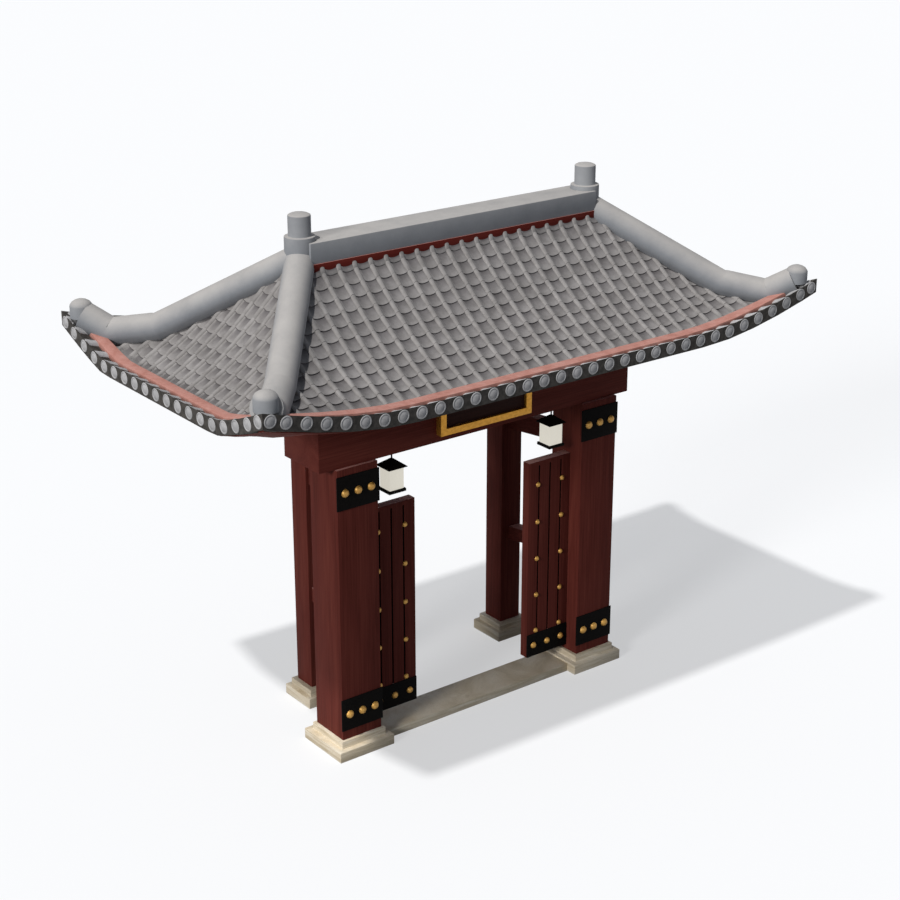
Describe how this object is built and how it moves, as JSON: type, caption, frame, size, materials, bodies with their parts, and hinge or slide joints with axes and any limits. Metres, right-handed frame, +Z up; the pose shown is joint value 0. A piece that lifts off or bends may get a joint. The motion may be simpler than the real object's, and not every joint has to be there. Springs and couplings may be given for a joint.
{
  "type": "temple gate",
  "caption": "Free-standing temple gate: a hipped tiled roof with upswept corners on stout timber posts, plank leaves hinged beside the open passage, hanging lanterns and a blank plaque.",
  "frame": {"origin": "middle of the gate's outline at ground level, under the roof's centre", "axes": "+X along the ridge to the right as seen from the front, +Y from the front (leaves and plaque) to the rear, +Z up"},
  "size_m": [6.518, 3.584, 5.325],
  "materials": {
    "stone_plinth": "honed cream travertine-like stone, open veins",
    "red_timber": "sawn timber under a dark red weathered stain",
    "leaf_timber": "dark red stained planks with cut joints",
    "black_iron": "forged iron, blackened and waxed",
    "brass_stud": "cast brass, dulled to a warm satin",
    "lantern_paper": "pale translucent paper panes, matt",
    "gilt_frame": "gold painted moulding, satin",
    "plaque_board": "near-black lacquered board, blank",
    "roof_tile": "grey fired clay tiles, matt and weathered",
    "eave_tile": "grey fired clay eave tiles with round end faces",
    "ridge_tile": "light grey fired clay and lime pointing, matt",
    "salmon_strip": "faded salmon red painted capping, matt",
    "red_strip": "dark red painted capping, matt"
  },
  "bodies": {
    "gate_frame": {"front_left_plinth": "stone_plinth", "front_right_plinth": "stone_plinth", "rear_left_plinth": "stone_plinth", "rear_right_plinth": "stone_plinth", "sill": "stone_plinth", "front_left_post": "red_timber", "front_right_post": "red_timber", "rear_left_post": "red_timber", "rear_right_post": "red_timber", "main_beam": "red_timber", "rear_beam": "red_timber", "left_ties": "red_timber", "right_ties": "red_timber", "ceiling": "red_timber", "soffit": "red_timber", "ridge_beam": "red_timber", "post_straps": "black_iron", "left_pintles": "black_iron", "right_pintles": "black_iron", "lantern_frames": "black_iron", "post_strap_studs": "brass_stud", "lantern_bodies": "lantern_paper", "plaque_frame": "gilt_frame", "plaque_panel": "plaque_board", "front_tile_bed": "roof_tile", "rear_tile_bed": "roof_tile", "left_tile_bed": "roof_tile", "right_tile_bed": "roof_tile", "eave_tiles": "eave_tile", "ridge": "ridge_tile", "front_left_hip": "ridge_tile", "front_right_hip": "ridge_tile", "rear_left_hip": "ridge_tile", "rear_right_hip": "ridge_tile", "corner_knobs": "ridge_tile", "ridge_finials": "ridge_tile", "eave_strip": "salmon_strip", "ridge_strip": "red_strip"},
    "left_leaf": {"left_leaf": "leaf_timber", "left_leaf_band": "black_iron", "left_leaf_studs": "brass_stud", "left_hinge_eyes": "black_iron"},
    "right_leaf": {"right_leaf": "leaf_timber", "right_leaf_band": "black_iron", "right_leaf_studs": "brass_stud", "right_hinge_eyes": "black_iron"}
  },
  "joints": [
    {"name": "left_leaf_swing", "type": "hinge", "parent": "gate_frame", "child": "left_leaf", "pos_m": [-1.233, -0.256, 1.3], "axis": [0, 0, 1], "range_deg": [0, 90]},
    {"name": "right_leaf_swing", "type": "hinge", "parent": "gate_frame", "child": "right_leaf", "pos_m": [1.233, -0.256, 1.3], "axis": [0, 0, -1], "range_deg": [0, 90]}
  ]
}
